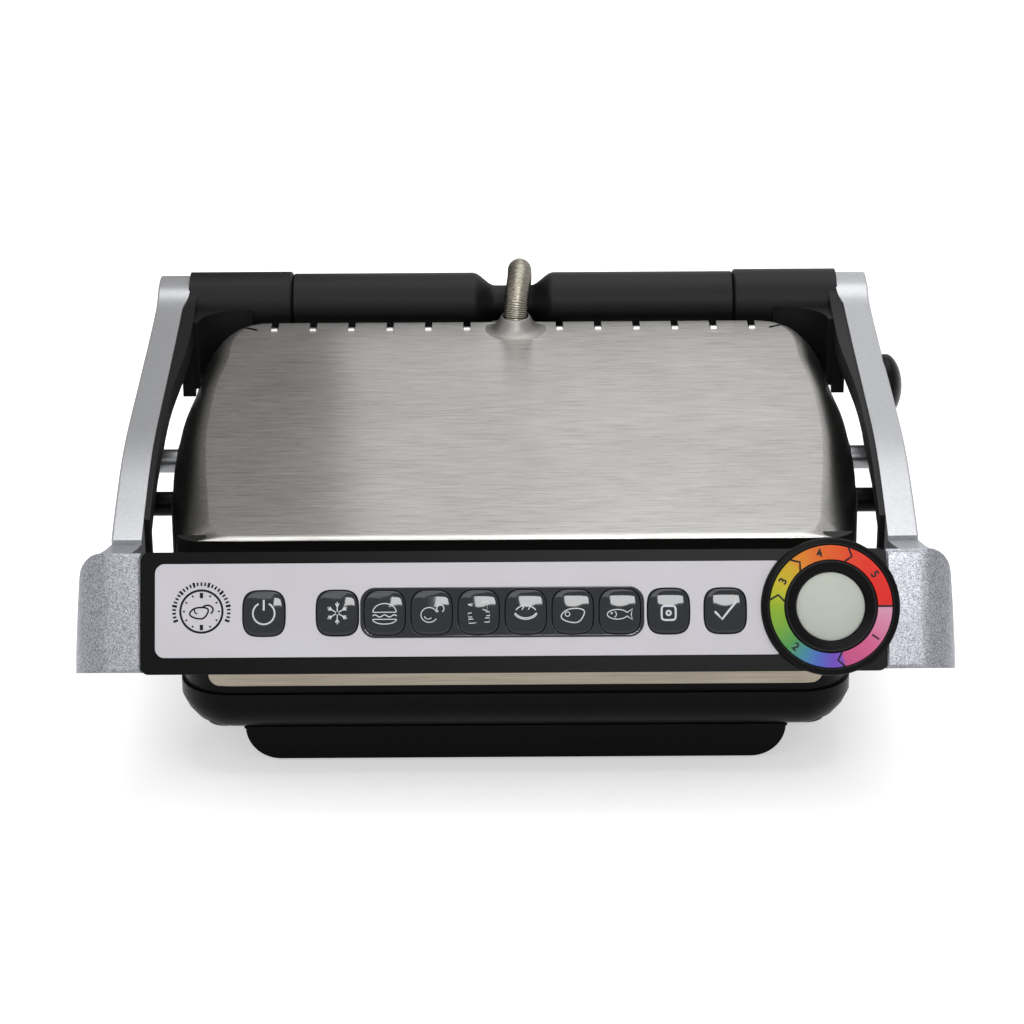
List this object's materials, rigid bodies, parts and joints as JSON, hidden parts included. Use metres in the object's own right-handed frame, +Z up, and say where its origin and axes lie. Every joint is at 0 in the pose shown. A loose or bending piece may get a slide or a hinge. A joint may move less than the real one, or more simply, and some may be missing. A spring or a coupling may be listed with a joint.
{
  "type": "contact grill",
  "caption": "Electric contact grill with a ribbed lower plate, a floating steel-covered head on hinged arms, a handle with a button panel, and a drip tray.",
  "frame": {"origin": "under the middle of the grill's overall box, on the surface it stands on", "axes": "+Z up, -Y to the front with the control panel, +X to the cook's right"},
  "size_m": [0.368, 0.3277, 0.1627],
  "materials": {
    "black_plastic": "matt moulded",
    "gloss_black": "gloss moulded",
    "silver_paint": "metallic flake paint",
    "brushed_steel": "brushed",
    "trim_steel": "satin",
    "plate_coating": "non-stick coated",
    "bare_aluminium": "mill",
    "bright_steel": "bright",
    "sheath_steel": "heat darkened",
    "conduit_steel": "warm satin",
    "circuit_board": "solder mask",
    "rubber": "matt",
    "silicone": "matt",
    "acetal": "moulded",
    "panel_film": "satin film",
    "colour_film": "printed film",
    "frosted_lens": "frosted",
    "ceramic": "fired"
  },
  "bodies": {
    "base": {"base_shell": "black_plastic", "rear_housing": "black_plastic", "tray_rails": "black_plastic", "legs": "black_plastic", "bottom_cover": "black_plastic", "front_trim": "trim_steel", "lower_plate": "plate_coating", "lower_element": "sheath_steel", "lower_reflector": "bare_aluminium", "lower_thermostat": "ceramic", "power_board": "circuit_board", "feet": "rubber", "base_screws": "bright_steel", "hinge_bar": "black_plastic", "hinge_shaft": "bright_steel", "cord_gland": "rubber", "conduit_socket": "black_plastic", "conduit": "conduit_steel"},
    "arms": {"arm_left": "silver_paint", "arm_right": "silver_paint", "arm_liner_left": "black_plastic", "arm_liner_right": "black_plastic", "hinge_bushes": "acetal", "side_cap": "black_plastic", "end_block_left": "silver_paint", "end_block_right": "silver_paint", "handle_frame": "gloss_black", "handle_back": "black_plastic", "handle_screws": "bright_steel", "faceplate": "panel_film", "ring_bezel": "gloss_black", "colour_ring": "colour_film", "ring_lens": "frosted_lens", "control_board": "circuit_board", "keypad_membrane": "silicone"},
    "head": {"head_cover": "brushed_steel", "head_rim": "black_plastic", "upper_plate": "plate_coating", "upper_element": "sheath_steel", "upper_reflector": "bare_aluminium", "upper_thermostat": "ceramic", "guide_pins": "bright_steel", "stop_pins": "gloss_black", "thickness_sensor": "bright_steel", "conduit_boss": "brushed_steel", "head_screws": "bright_steel"},
    "tray": {"drip_tray": "gloss_black"},
    "lower_release": {"lower_release_button": "black_plastic"},
    "upper_release": {"upper_release_button": "black_plastic"},
    "button_power": {"button_power": "gloss_black"},
    "button_frozen": {"button_frozen": "gloss_black"},
    "button_1": {"button_1": "gloss_black"},
    "button_2": {"button_2": "gloss_black"},
    "button_3": {"button_3": "gloss_black"},
    "button_4": {"button_4": "gloss_black"},
    "button_5": {"button_5": "gloss_black"},
    "button_6": {"button_6": "gloss_black"},
    "button_manual": {"button_manual": "gloss_black"},
    "button_confirm": {"button_confirm": "gloss_black"}
  },
  "joints": [
    {"name": "lid_hinge", "type": "hinge", "parent": "base", "child": "arms", "pos_m": [0, 0.13, 0.14], "axis": [-1, 0, 0], "range_deg": [0, 100], "deforming": ["conduit"]},
    {"name": "head_float", "type": "slide", "parent": "arms", "child": "head", "axis": [0, 0, 1], "range_m": [0, 0.01]},
    {"name": "tray_slide", "type": "slide", "parent": "base", "child": "tray", "axis": [0, -1, 0], "range_m": [0, 0.12]},
    {"name": "lower_release_press", "type": "slide", "parent": "base", "child": "lower_release", "axis": [0, 1, 0], "range_m": [0, 0.002], "stiffness_N_per_m": 800},
    {"name": "upper_release_press", "type": "slide", "parent": "head", "child": "upper_release", "axis": [0, 0.9925, 0.1219], "range_m": [0, 0.002], "stiffness_N_per_m": 800},
    {"name": "button_power_press", "type": "slide", "parent": "arms", "child": "button_power", "axis": [0, 0.9135, -0.4067], "range_m": [0, 0.001], "stiffness_N_per_m": 600},
    {"name": "button_frozen_press", "type": "slide", "parent": "arms", "child": "button_frozen", "axis": [0, 0.9135, -0.4067], "range_m": [0, 0.001], "stiffness_N_per_m": 600},
    {"name": "button_1_press", "type": "slide", "parent": "arms", "child": "button_1", "axis": [0, 0.9135, -0.4067], "range_m": [0, 0.001], "stiffness_N_per_m": 600},
    {"name": "button_2_press", "type": "slide", "parent": "arms", "child": "button_2", "axis": [0, 0.9135, -0.4067], "range_m": [0, 0.001], "stiffness_N_per_m": 600},
    {"name": "button_3_press", "type": "slide", "parent": "arms", "child": "button_3", "axis": [0, 0.9135, -0.4067], "range_m": [0, 0.001], "stiffness_N_per_m": 600},
    {"name": "button_4_press", "type": "slide", "parent": "arms", "child": "button_4", "axis": [0, 0.9135, -0.4067], "range_m": [0, 0.001], "stiffness_N_per_m": 600},
    {"name": "button_5_press", "type": "slide", "parent": "arms", "child": "button_5", "axis": [0, 0.9135, -0.4067], "range_m": [0, 0.001], "stiffness_N_per_m": 600},
    {"name": "button_6_press", "type": "slide", "parent": "arms", "child": "button_6", "axis": [0, 0.9135, -0.4067], "range_m": [0, 0.001], "stiffness_N_per_m": 600},
    {"name": "button_manual_press", "type": "slide", "parent": "arms", "child": "button_manual", "axis": [0, 0.9135, -0.4067], "range_m": [0, 0.001], "stiffness_N_per_m": 600},
    {"name": "button_confirm_press", "type": "slide", "parent": "arms", "child": "button_confirm", "axis": [0, 0.9135, -0.4067], "range_m": [0, 0.001], "stiffness_N_per_m": 600}
  ]
}
